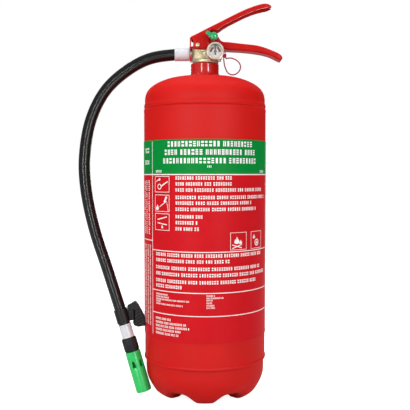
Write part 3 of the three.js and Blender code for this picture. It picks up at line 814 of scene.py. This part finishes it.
# 1: a ring pulled along its pin.  2: a jet aimed at a flame's foot.  3: two levers pressed together.
round_sign(signs, -62.5, 274.6, 3.6, 1.1)
for stroke in (((-59, 275.2), (-48.5, 281), 1.5), ((-69, 281), (-61, 284), 1.0),
        ((-61, 284), (-63.4, 285.2), 0.9), ((-61, 284), (-62.4, 281.8), 0.9)):
    signs.line(*stroke)
flame(signs, -66.6, 245.4, 7.0)
for stroke in (((-62, 249.6), (-51, 256.4), 0.9), ((-54, 255.2), (-50.4, 262.4), 2.6),
        ((-50.2, 256.6), (-48, 244.6), 0.5), ((-66, 233.6), (-50, 237.4), 1.2),
        ((-66, 229.6), (-50, 227.6), 1.2)):
    signs.line(*stroke)
signs.shape([(-59.6, 223.6), (-56, 223.6), (-57.8, 227.4)])
signs.line((-57.8, 222.6), (-57.8, 224.4), 1.1)
for s in (44, 76):
    signs.frame(s - 12.0, s + 12.0, 197.0, 218.6, 0.5)
flame(signs, 41.0, 204.4, 9.0)
flame(signs, 46.6, 204.0, 5.4)
signs.line((34.6, 199), (48.6, 203.6), 1.1)
signs.line((34.6, 203.4), (48.6, 199.2), 1.1)
round_sign(signs, 76.0, 204.4, 4.4, 1.4)
flame(signs, 76.0, 202.6, 4.2)
flame(signs, 70.0, 209.4, 5.6)
signs.finish()

# ---- valve
dress(softened(cad_copy("valve_casting", "valve_body"), voxel(0.42, 0.9), 5), CAST, "vessel",
    "plated_brass", "valve_body", sharp=70)


def ring_profile(major, minor, z, sides=20):
    turns = [2 * math.pi * i / sides for i in range(sides)]
    return [(major + minor * math.cos(a), z + minor * math.sin(a)) for a in turns]


turned("neck_seal_ring", ring_profile(15.95, 0.8, 433.9), UPRIGHT, RUBBER, "vessel", "rubber",
    "neck_o_ring", corner=0)
turned("spring_retainer_cup", [
    (3.2, 396), (4.5, 396), (4.5, 406.5), (8.5, 406.5), (8.5, 411), (3.2, 411),
], UPRIGHT, BRASS, "vessel", "brass", "spring_retainer", around=64)
turned("pickup_tube", [(4.8, 34), (6, 34), (6, 406.2), (4.8, 406.2)], UPRIGHT, TUBE, "vessel",
    "tube_plastic", "dip_tube", around=64)
turned("poppet", [
    (0, 423.2), (7.2, 423.2), (7.2, 427.2), (2.8, 427.2), (2.8, 424.7), (0, 424.7),
], UPRIGHT, BRASS, "stem", "brass", "stem_poppet", around=64)
turned("poppet_washer", [(2.8, 427.5), (7.2, 427.5), (7.2, 428.7), (2.8, 428.7)], UPRIGHT, RUBBER, "stem",
    "rubber", "poppet_seal", around=64)
turned("stem_rod", [
    (0, 425), (2.5, 425), (2.5, 468.6), (1.5, 470), (0, 470),
], UPRIGHT, STEEL, "stem", "steel", "valve_stem", around=48)
turned("stem_seal_ring", ring_profile(3.65, 0.8, 455.5), UPRIGHT, RUBBER, "stem", "rubber", "stem_o_ring",
    corner=0, around=48)
SPRING_R, SPRING_WIRE_R, SPRING_LOW, SPRING_TALL, SPRING_TURNS = 5.4, 0.65, 412.1, 10.1, 4
SPRING_STEPS = SPRING_TURNS * 36
spring_line = [
    Vector((SPRING_R * math.cos(a), SPRING_R * math.sin(a), SPRING_LOW + SPRING_TALL * i / SPRING_STEPS))
    for i in range(SPRING_STEPS + 1) for a in [2 * math.pi * i / 36]
]
spring = rod("return_spring", spring_line, SPRING_WIRE_R, 12, STEEL, None, "steel", "stem_spring")
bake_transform(spring)


# ---- folded sheet levers
def folded_channel(name, stations, half_widths, thickness, bend, opens_up):
    """A U of sheet metal whose section runs through stations of (top x, z, foot x, z).

    The web is at the foot when it opens up, and at the top when it opens down.
    """
    tops = curve_through([(s[0], 0, s[1]) for s in stations], 5)
    feet = curve_through([(s[2], 0, s[3]) for s in stations], 5)
    widths = [p.x for p in curve_through([(w, 0, 3 * i) for i, w in enumerate(half_widths)], 5)]
    arc = [math.radians(90 * k / 6) for k in range(7)]
    verts, count = [], None
    for top, foot, half in zip(tops, feet, widths):
        web, rim = (foot, top) if opens_up else (top, foot)
        up = rim - web
        tall = up.length
        up.normalize()
        section = []
        for inset, radius in ((0.0, min(bend, tall * 0.8)),
                (thickness, max(0.3, min(bend, tall * 0.8) - thickness))):
            w = half - inset
            level = [(-w, tall)]
            level += [
                (-w + radius - radius * math.cos(a), inset + radius - radius * math.sin(a)) for a in arc
            ]
            level += [(-y, h) for y, h in reversed(level)]
            middle = len(level) // 2
            level[middle:middle] = [(level[middle - 1][0] * (1 - 2 * k / 6), inset) for k in range(1, 6)]
            section += level if inset == 0 else list(reversed(level))
        count = len(section)
        verts += [web + up * h + Vector((0, y, 0)) for y, h in section]
    faces = []
    for i in range(len(tops) - 1):
        for j in range(count):
            k = (j + 1) % count
            faces.append((i * count + j, i * count + k, (i + 1) * count + k, (i + 1) * count + j))
    last = (len(tops) - 1) * count
    half_count = count // 2
    for o in (0, last):  # the end faces, as a strip between the outside and the inside line
        for j in range(half_count - 1):
            faces.append((o + j, o + j + 1, o + count - 2 - j, o + count - 1 - j))
    obj = new_object(name, verts, faces)
    shade(obj)
    return obj


LEVER_STATIONS = [(-18.2, 468.7, -18.2, 466.7), (-16.2, 469.7, -15.6, 464.6), (-14.4, 470.6, -14.7, 456.4),
    (-12.4, 471.5, -13.2, 453), (-4.0, 475.7, -5.0, 453), (0.5, 478.0, 2.4, 453), (2.9, 479.2, 5.6, 459.6),
    (3.9, 479.7, 5.6, 466), (4.7, 480.1, 4.2, 474.2), (7.4, 481.5, 7.4, 477.4), (16.5, 486.0, 16.2, 477.2),
    (23.6, 489.6, 23.6, 481.9), (31.6, 493.6, 31.6, 486.6), (43.4, 499.4, 43.4, 492.5),
    (55.3, 504.7, 55.3, 498.2), (67.2, 508.9, 67.2, 502.5), (74.6, 510.8, 75.4, 504.6),
    (79.5, 511.1, 80.4, 505.6), (83.0, 510.5, 83.6, 506.6), (85.4, 509.5, 85.6, 507.2),
    (86.6, 508.6, 86.6, 506.8)]
LEVER_HALF = [12.5] * 17 + [12.3, 11.4, 9.4, 7.0]
lever = folded_channel("squeeze_lever_channel", LEVER_STATIONS, LEVER_HALF, 1.4, 2.6, False)
cut(lever, drill(PIVOT, 2.5, -16, 16))
bevelled(lever, 0.3, 2, 40)
PAD = [(-6, 470.3), (3.2, 470.3), (3.2, 477.6), (-6, 473.2)]
pad = bevelled(new_object("pad", *plate(PAD, -4.5, 4.5)), 0.6, 3)
lever = joined("squeeze_lever_sheet", lever, pad)
dress(lever, LEVER_RED, "lever", "red_paint", "squeeze_lever", sharp=38)

AT_SCREW = shift(17.3, 0, 0)
HANDLE_STATIONS = [(-19.2, 456.2, -19.2, 453.4), (-17.2, 456.0, -17.2, 453.2), (-15.6, 456.2, -15.6, 453.0),
    (-14.4, 462.2, -14.2, 452.9), (-12.0, 463, -12.0, 452.8), (3.0, 463, 3.0, 452.8),
    (6.2, 469.0, 5.8, 452.8), (8.4, 470.5, 8.2, 452.8), (14.0, 470.7, 14.0, 452.8),
    (16.6, 469.4, 17.0, 452.8), (22.0, 462.7, 23.4, 452.8), (31.7, 461.4, 30.6, 451.8),
    (47.6, 459.5, 47.0, 450.9), (67.5, 457.2, 67.0, 448.7), (77.5, 454.6, 77.6, 446.7),
    (87.4, 450.8, 87.0, 443.7), (95.6, 447.2, 94.4, 439.9), (100.0, 444.0, 97.8, 438.3),
    (101.4, 441.0, 99.2, 437.7)]
HANDLE_HALF = [10.8] * 16 + [10.7, 10.0, 8.4]
handle = folded_channel("carry_handle_channel", HANDLE_STATIONS, HANDLE_HALF, 1.5, 2.4, True)
cut(handle, new_object("window", *block(-30, 12.4, -9.05, 9.05, 440, 458)))
cut(handle, drill(PIVOT, 2.5, -16, 16))
cut(handle, drill(PIN, 2.4, -16, 16))
cut(handle, new_object("drill", *cylinder(2.2, 445, 460, 32), AT_SCREW))
bevelled(handle, 0.3, 2, 40)
back = bevelled(new_object("back", *block(-19.3, -18.4, -9.6, 9.6, 454.6, 467.4)), 0.3, 2)
handle = joined("carry_handle_sheet", handle, back)
dress(handle, LEVER_RED, "vessel", "red_paint", "carry_handle", sharp=38)

turned("handle_fixing_screw", [
    (0, 444), (1.9, 444), (1.9, 454.6), (3.6, 454.6), (3.4, 456), (2.2, 456.6), (0, 456.6),
], AT_SCREW, STEEL, "vessel", "steel", "handle_screw", around=48)
turned("pivot_rivet", [(0, -14), (1.3, -13.95), (2.3, -13.7), (2.9, -12.9), (2.9, -12.8), (2.2, -12.8),
    (2.2, 12.8), (2.9, 12.8), (2.9, 12.9), (2.3, 13.7), (1.3, 13.95), (0, 14)], across(PIVOT), CAST,
    "vessel", "plated_brass", "lever_pivot_rivet", corner=0.12, around=64)

# ---- safety pin and seal
turned("pin_rod", [(0, -21.7), (1.9, -21.7), (1.9, 15.2), (1.1, 16), (0, 16)], across(PIN), STEEL,
    "safety_pin", "steel", "safety_pin_rod", around=48)
CAP_DOME = [(0, 17.8), (5, 17.8), (5.35, 18.3), (5.35, 22.6), (5.1, 23.8), (4.4, 25), (3.2, 25.8),
    (1.6, 26.2), (0, 26.3)]
cap = new_object("pin_cap", *lathe(CAP_DOME, 48), to_front(PIN))
shade(cap)
TAB = [(-10.6, 3.6), (-9.6, 6.6), (-6.4, 6.4), (-2, 3.4), (-3.6, -0.6), (-7.4, 1)]
tab_outline = rounded(TAB, 1.4, 4)
carve(cap, plate([(PIN[0] + p.x, PIN[1] + p.y) for p in tab_outline], -24.0, -19.2), operation="UNION")
cut(cap, drill(PIN, 2.2, -22.0, -15.0))
dress(softened(cap, voxel(0.26, 0.5), 4), PIN_GREEN, "safety_pin", "green_plastic", "safety_pin_head",
    sharp=70)

SEAL_Y, SEAL_WIRE_R = -14.8, 0.8
dress(softened(cad_copy("seal_clasp", "seal_lock"), 0.2, 4), SEAL, "vessel", "seal_plastic", "seal_lock",
    sharp=70)
SEAL_LOOP = [(26.7, 446.3), (22.6, 454), (17.4, 462), (15.3, 467.6), (11.5, 470.4), (7.8, 467.4),
    (9, 462.4), (13.4, 457.4), (19, 451.6), (24.2, 446.3)]
SEAL_TAIL = [(26.9, 439.6), (34, 440.2), (42.8, 436), (46.2, 429.5), (44.2, 423), (37.5, 418.8),
    (30.6, 420.6), (26.2, 428.5), (24.2, 439.6)]
for part, points in (("loop", SEAL_LOOP), ("tail", SEAL_TAIL)):
    line = curve_through([(x, SEAL_Y, z) for x, z in points], 14)
    rod("seal_wire_" + part, line, SEAL_WIRE_R, 16, SEAL, "vessel", "seal_plastic", "seal_" + part)

# ---- pressure gauge
AT_GAUGE = to_front(GAUGE)
turned("gauge_case_cup", [
    (0, 5), (3.1, 5), (3.1, 11.1), (5.2, 11.1), (5.2, 14), (3.4, 14.6), (3.4, 16.2), (8.6, 17),
    (10.2, 18.6), (10.2, 26.2), (9.1, 26.2), (9.1, 19), (8.2, 18.2), (0, 18.2),
], AT_GAUGE, CASE, "vessel", "steel", "gauge_case", corner=0.5)
turned("gauge_bezel_ring", [(10.5, 23), (11.2, 23), (11.3, 23.3), (11.3, 27.2), (10.9, 28), (10.2, 28.35),
    (9.3, 28.3), (8.8, 27.9), (8.75, 27.6), (10.5, 27.6)], AT_GAUGE, BEZEL, "vessel", "steel",
    "gauge_bezel", corner=0.15, around=128)
turned("gauge_lens_disc", [(0, 26.5), (10.2, 26.5), (10.2, 27.3), (0, 27.3)], AT_GAUGE, LENS, "vessel",
    "lens", "gauge_lens", corner=0.15)
turned("gauge_dial_plate", [(0.9, 22.2), (8.7, 22.2), (8.7, 22.8), (0.9, 22.8)], AT_GAUGE, DIAL, "vessel",
    "dial_enamel", "gauge_dial", corner=0.1)
turned("gauge_spindle", [(0, 19.2), (0.55, 19.2), (0.55, 25), (0, 25)], AT_GAUGE, BRASS, "vessel", "brass",
    "gauge_pivot", corner=0.1, around=32)
BOURDON_R, BOURDON_TUBE_R, BOURDON_DEPTH = 6.3, 1.1, 20.2


def on_circle(radius, degrees):
    a = math.radians(degrees)
    return radius * math.cos(a), radius * math.sin(a)


bourdon = [AT_GAUGE @ Vector((*on_circle(BOURDON_R, -60 + 5 * i), BOURDON_DEPTH)) for i in range(49)]
rod("bourdon_tube", bourdon, BOURDON_TUBE_R, 16, BRASS, "vessel", "brass", "gauge_bourdon_tube")


def dial_arc(name, look, from_angle, to_angle, inner, outer, low=22.75, high=22.95):
    """A printed zone on the dial; angles in degrees from the right, anticlockwise as seen."""
    n = max(2, round((to_angle - from_angle) / 3))
    verts = []
    for d in (low, high):
        for i in range(n + 1):
            a = math.radians(from_angle + (to_angle - from_angle) * i / n)
            verts += [(r * math.cos(a), r * math.sin(a), d) for r in (inner, outer)]
    o = 2 * (n + 1)
    faces = [(0, 1, o + 1, o), (2 * n, 2 * n + 1, o + 2 * n + 1, o + 2 * n)]
    for i in range(n):
        a, b = 2 * i, 2 * i + 2
        faces += [(a, a + 1, b + 1, b), (o + a, o + a + 1, o + b + 1, o + b), (a, b, o + b, o + a),
            (a + 1, b + 1, o + b + 1, o + a + 1)]
    return dress(new_object(name, verts, faces, AT_GAUGE), look, "vessel", "dial_enamel", sharp=30)


dial_arc("dial_zone_low", DIAL_RED, 112, 186, 4.0, 6.9)
dial_arc("dial_zone_high", DIAL_RED, -6, 68, 4.0, 6.9)
dial_arc("dial_zone_good", DIAL_GREEN, 74, 106, 4.0, 8.3)
BOSS_R = 1.7


def hub(first, count):
    """Part of the pointer's round boss, in steps of six degrees."""
    return [on_circle(BOSS_R, first + 6 * k) for k in range(count)]


BLADE = [(0.9, 1.6), (0.62, 4.2), (0.22, 7.4), (-0.22, 7.4), (-0.62, 4.2), (-0.9, 1.6)]
TAIL = [(-0.6, -1.6), (-0.55, -2.4), (-1.15, -3), (-1.3, -3.6), (-0.9, -4.1), (0, -4.25), (0.9, -4.1),
    (1.3, -3.6), (1.15, -3), (0.55, -2.4), (0.6, -1.6)]
outline = BLADE + hub(118, 22) + TAIL + hub(-62, 21)
verts = [(x, y, d) for d in (23.4, 24) for x, y in outline]
dress(new_object("gauge_pointer_blade", verts, plate(outline, 0, 0)[1], AT_GAUGE), NEEDLE, "gauge_pointer",
    "green_plastic", "gauge_needle", sharp=40)

# ---- hose fittings
dress(bevelled(cad_copy("hose_nut_and_barb", "hose_insert_upper"), 0.35, 3, 35), STEEL, "hose_line", "steel",
      "hose_insert_upper", sharp=30)
CRIMP_FLATS = 8


def ferrule(name, r0, r1, z0, z1, matrix, stands_for):
    """A sleeve with a bead at each end, and shallow flats where the crimping jaws pressed."""
    outside = [(r0 - 0.3, z0), (r0, z0 + 0.5), (r0, z0 + 2.0), (r0 - 0.42, z0 + 2.3), (r0 - 0.42, z0 + 3.1),
        (r0 - 0.12, z0 + 3.4), (r0 - 0.12, z1 - 3.4), (r0 - 0.42, z1 - 3.1), (r0 - 0.42, z1 - 2.3),
        (r0, z1 - 2.0), (r0, z1 - 0.5), (r0 - 0.3, z1)]

    def pressed(r, z, a):
        if r < r1 + 0.2 or not z0 + 3.4 < z < z1 - 3.4:
            return r
        return r - 0.05 * (0.5 - 0.5 * math.cos(CRIMP_FLATS * a))

    # The sleeve's near-white is painted reflection of the studio, not the steel's own colour.
    return turned(name, outside + [(r1, z1), (r1, z0)], matrix, FERRULE_PAINTED_REFLECTION, "hose_line", "steel", stands_for,
        corner=0.12, around=128, ripple=pressed)


ferrule("crimp_sleeve_upper", 8.4, 7.7, 20.8, 39.4, OUTLET, "hose_ferrule_upper")
ferrule("crimp_sleeve_lower", 8.3, 7.7, 20.5, 38.5, HOSE_END, "hose_ferrule_lower")
turned("hose_barb_lower", [
    (2.4, 22), (3.5, 22), (3.5, 39.2), (6, 39.2), (6, 50.8), (2.4, 50.8),
], HOSE_END, BRASS, "hose_line", "brass", "hose_insert_lower", around=64)

COLLAR_RIBS = 28


def rib_ripple(r, z, a):
    if r < 9.2 or not 40.4 < z < 55.4:
        return r
    wave = max(0.0, math.cos(COLLAR_RIBS * a)) ** 0.6
    return r + 0.36 * wave - 0.05


turned("nozzle_grip_ring", [(6.3, 38.8), (8.6, 38.8), (9.35, 39.7), (9.35, 40.5), (9.4, 40.9), (9.4, 48),
    (9.4, 55), (9.35, 55.3), (9.35, 55.9), (8.8, 56.8), (6.3, 56.8)], HOSE_END, BLACK, "hose_line",
    "black_plastic", "nozzle_collar", corner=0.2, around=28 * 8, ripple=rib_ripple, sharp=50)

verts, faces = lathe(rounded([(4.5, 51.3), (5.9, 51.3), (5.9, 57.1), (9.5, 57.1), (9.9, 57.9), (9.9, 110.2),
    (9.4, 111), (8.3, 111), (8, 110.2), (8, 62), (4.5, 60)], 0.35), 128)
SLOT = [(-1.6, 69.4), (1.6, 69.4), (2.7, 78), (-2.7, 78)]
FIRST_SLOT, SLOT_PITCH = 131, 60  # no slot has another right across the barrel
nozzle = new_object("nozzle_barrel", verts, faces, HOSE_END)
shade(nozzle)
for k in range(-1, 3):
    carve(nozzle, plate(SLOT, -6, -12), HOSE_END @ spin_matrix(FIRST_SLOT + SLOT_PITCH * k, "Z"))
bevelled(nozzle, 0.25, 2, 40)
dress(nozzle, GREEN, "hose_line", "green_plastic", "nozzle", sharp=34)
turned("foam_jet", [(1.2, 52), (4.1, 52), (4.1, 61), (2.6, 65), (1.2, 65)], HOSE_END, BRASS, "hose_line",
    "brass", "nozzle_jet", around=64)

# ---- side bracket and the sleeve that clips into it
dress(softened(cad_copy("hose_clip_sleeve", "hose_clip_ring"), voxel(0.3, 0.6), 4), BLACK, "hose_line",
    "black_plastic", "hose_clip_ring", sharp=70)

low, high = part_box("hose_bracket")
BRACKET_FRONT, BRACKET_BACK = low.y / MM + 0.1, high.y / MM
# A paddle with round ends that leans along the hose, and a flat neck over the sleeve's pin.
paddle = rounded([(-99.8, 118.4), (-91.6, 124.4), (-88, 120.8), (-76.6, 99), (-75.6, 92.8),
    (-86.8, 90.8), (-92.2, 92.4), (-94.4, 97.4), (-96.4, 106)], 2.8, 8)
neck = rounded([(-101.4, 113.4), (-101.4, 118.4), (-96, 121), (-90, 113.4)], 0.5, 4)
bracket = new_object("side_bracket", *plate(paddle, BRACKET_FRONT, BRACKET_BACK))
shade(bracket)
carve(bracket, plate(neck, BRACKET_FRONT + 0.4, BRACKET_BACK - 0.4), operation="UNION")
carve(bracket, block(-104, -91.4, BRACKET_FRONT - 2, BRACKET_FRONT + 7.1, 97.2, 113.3))  # the clip's hollow
carve(bracket, cylinder(80.9, 60, 140, 160))  # the side that lies on the vessel
GROOVES, GROOVE_PITCH, GROOVE_LEAN = 6, 4.4, -30
for k in range(GROOVES):
    carve(bracket, block(-96, -72, BRACKET_FRONT - 1, BRACKET_FRONT + 0.7, 0, 1.0),
          shift(-84, 0, 92.0 + GROOVE_PITCH * k) @ spin_matrix(GROOVE_LEAN, "Y") @ shift(84, 0, 0))
dress(softened(bracket, voxel(0.3, 0.6), 4), BLACK, "vessel", "black_plastic", "hose_bracket", sharp=70)

# ---- floor and light
floor = new_object("floor", *cylinder(9000, -20, 0, 96))
shade(floor)
floor_look = material("floor_paper", (206, 206, 206), 0.85, blotch=3, vary=0.01, grain=300, bump=0.02,
    specular=0.0)
FLOOR_GLOW = 0.9  # what the sweep adds where it is looked at directly
paper = floor_look.node_tree
glow = paper.nodes.new("ShaderNodeMath")
glow.operation = "MULTIPLY"
glow.inputs[1].default_value = FLOOR_GLOW
paper.links.new(paper.nodes.new("ShaderNodeLightPath").outputs["Is Camera Ray"], glow.inputs[0])
paper.links.new(glow.outputs[0], paper.nodes["Principled BSDF"].inputs["Emission Strength"])
paper.nodes["Principled BSDF"].inputs["Emission Color"].default_value = (1, 1, 1, 1)
floor.data.materials.append(floor_look)
floor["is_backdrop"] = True


def soft_light(name, azimuth, distance, height, size, power, mirrored=False, aim=0.26):
    """A softbox at an azimuth from the front, positive to the right. A mirrored one only shows in glossy
    surfaces, and the others only light."""
    light = bpy.data.lights.new(name, "AREA")
    light.shape = "RECTANGLE"
    light.size, light.size_y = size
    light.energy = power
    obj = bpy.data.objects.new(name, light)
    a = math.radians(azimuth)
    obj.location = (distance * math.sin(a), -distance * math.cos(a), height)
    obj.rotation_mode = "QUATERNION"
    obj.rotation_quaternion = (Vector((0, 0, aim)) - obj.location).to_track_quat("-Z", "Y")
    obj.visible_glossy, obj.visible_diffuse, obj.visible_camera = mirrored, not mirrored, False
    scene.collection.objects.link(obj)


STRIPS = (
    ("strip_left", -25, 0.375, (0.05, 0.69), 5.6), ("strip_right", 27, 0.375, (0.05, 0.69), 5.6),
    ("strip_back_left", -168, 0.45, (0.08, 0.7), 1.6), ("strip_back_right", 168, 0.45, (0.08, 0.7), 1.6),
)
for name, azimuth, height, size, power in STRIPS:
    soft_light(name, azimuth, 1.25, height, size, power, mirrored=True, aim=height)
soft_light("key_left", -50, 1.7, 0.95, (1.2, 1.2), 16.4)
soft_light("key_right", 40, 1.7, 0.95, (1.2, 1.2), 14.2)
soft_light("overhead", 0, 0.1, 1.9, (1.6, 1.6), 16)
soft_light("back_left", -140, 1.8, 1.3, (1, 1), 9)
soft_light("back_right", 140, 1.8, 1.3, (1, 1), 9)

# The studio is white to look at. For light and reflections it is dimmer: a pale front, darker to the right
# and the back, and a soft ceiling.
FRONT, BACK, CEILING, RIGHT_SHARE = 0.42, 0.12, 0.42, 0.25


def sky_ramp(tree, source, low, high, to_low, to_high):
    made = node(tree, "ShaderNodeMapRange", From_Min=low, From_Max=high, To_Min=to_low, To_Max=to_high)
    made.interpolation_type = "SMOOTHSTEP"
    tree.links.new(source, made.inputs["Value"])
    return made.outputs["Result"]


def maths(tree, operation, *sources):
    made = tree.nodes.new("ShaderNodeMath")
    made.operation = operation
    for socket, source in zip(made.inputs, sources):
        tree.links.new(source, socket)
    return made.outputs[0]


world = bpy.data.worlds.new("studio")
scene.world = world
world.use_nodes = True
sky = world.node_tree
direction = sky.nodes.new("ShaderNodeTexCoord")
parts = sky.nodes.new("ShaderNodeSeparateXYZ")
sky.links.new(direction.outputs["Generated"], parts.inputs["Vector"])
sideways = maths(sky, "MULTIPLY", sky_ramp(sky, parts.outputs["Y"], -0.5, 0.8, FRONT, BACK),
    sky_ramp(sky, parts.outputs["X"], 0.1, 0.95, 1.0, RIGHT_SHARE))
brighter = maths(sky, "MAXIMUM", sideways, sky_ramp(sky, parts.outputs["Z"], 0.25, 0.9, 0.0, CEILING))
seen = sky.nodes.new("ShaderNodeLightPath")
choose = sky.nodes.new("ShaderNodeMix")
choose.inputs["B"].default_value = 1.0
sky.links.new(seen.outputs["Is Camera Ray"], choose.inputs["Factor"])
sky.links.new(brighter, choose.inputs["A"])
sky.links.new(choose.outputs["Result"], sky.nodes["Background"].inputs["Strength"])
sky.nodes["Background"].inputs["Color"].default_value = (1, 1, 1, 1)
scene.view_settings.view_transform = "Standard"

low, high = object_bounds()
